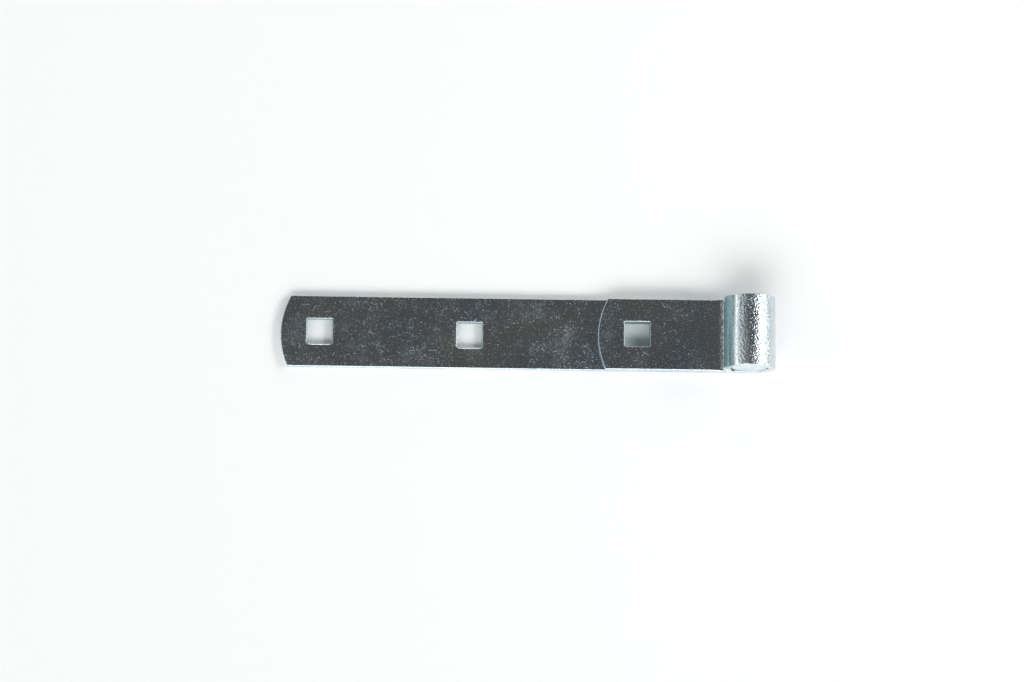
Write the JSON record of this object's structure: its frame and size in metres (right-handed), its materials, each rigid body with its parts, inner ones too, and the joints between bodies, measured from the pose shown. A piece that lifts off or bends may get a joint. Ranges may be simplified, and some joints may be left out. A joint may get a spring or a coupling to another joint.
{
  "type": "strap hinge",
  "caption": "Strap hinge: a flat bar rolled into an eye and folded back on itself, with square bolt holes, turning on a plain round pin.",
  "frame": {"origin": "centre of the overall length and width, on the back face that lies on the gate", "axes": "+X along the strap from the leaf's free end to the eye, +Y along the pin, +Z out of the gate, away from the back face"},
  "size_m": [0.2174, 0.0318, 0.0226],
  "materials": {
    "strap_zinc": "bright zinc plate with a faint blue tint, fine grain and handling scratches",
    "pin_zinc": "bright zinc plate, turned end faces"
  },
  "bodies": {
    "pin": {"hinge_pin": "pin_zinc"},
    "strap": {"strap": "strap_zinc"}
  },
  "joints": [
    {"name": "strap_swing", "type": "hinge", "parent": "pin", "child": "strap", "pos_m": [0.09734, 0, 0.01132], "axis": [0, 1, 0], "continuous": true}
  ]
}
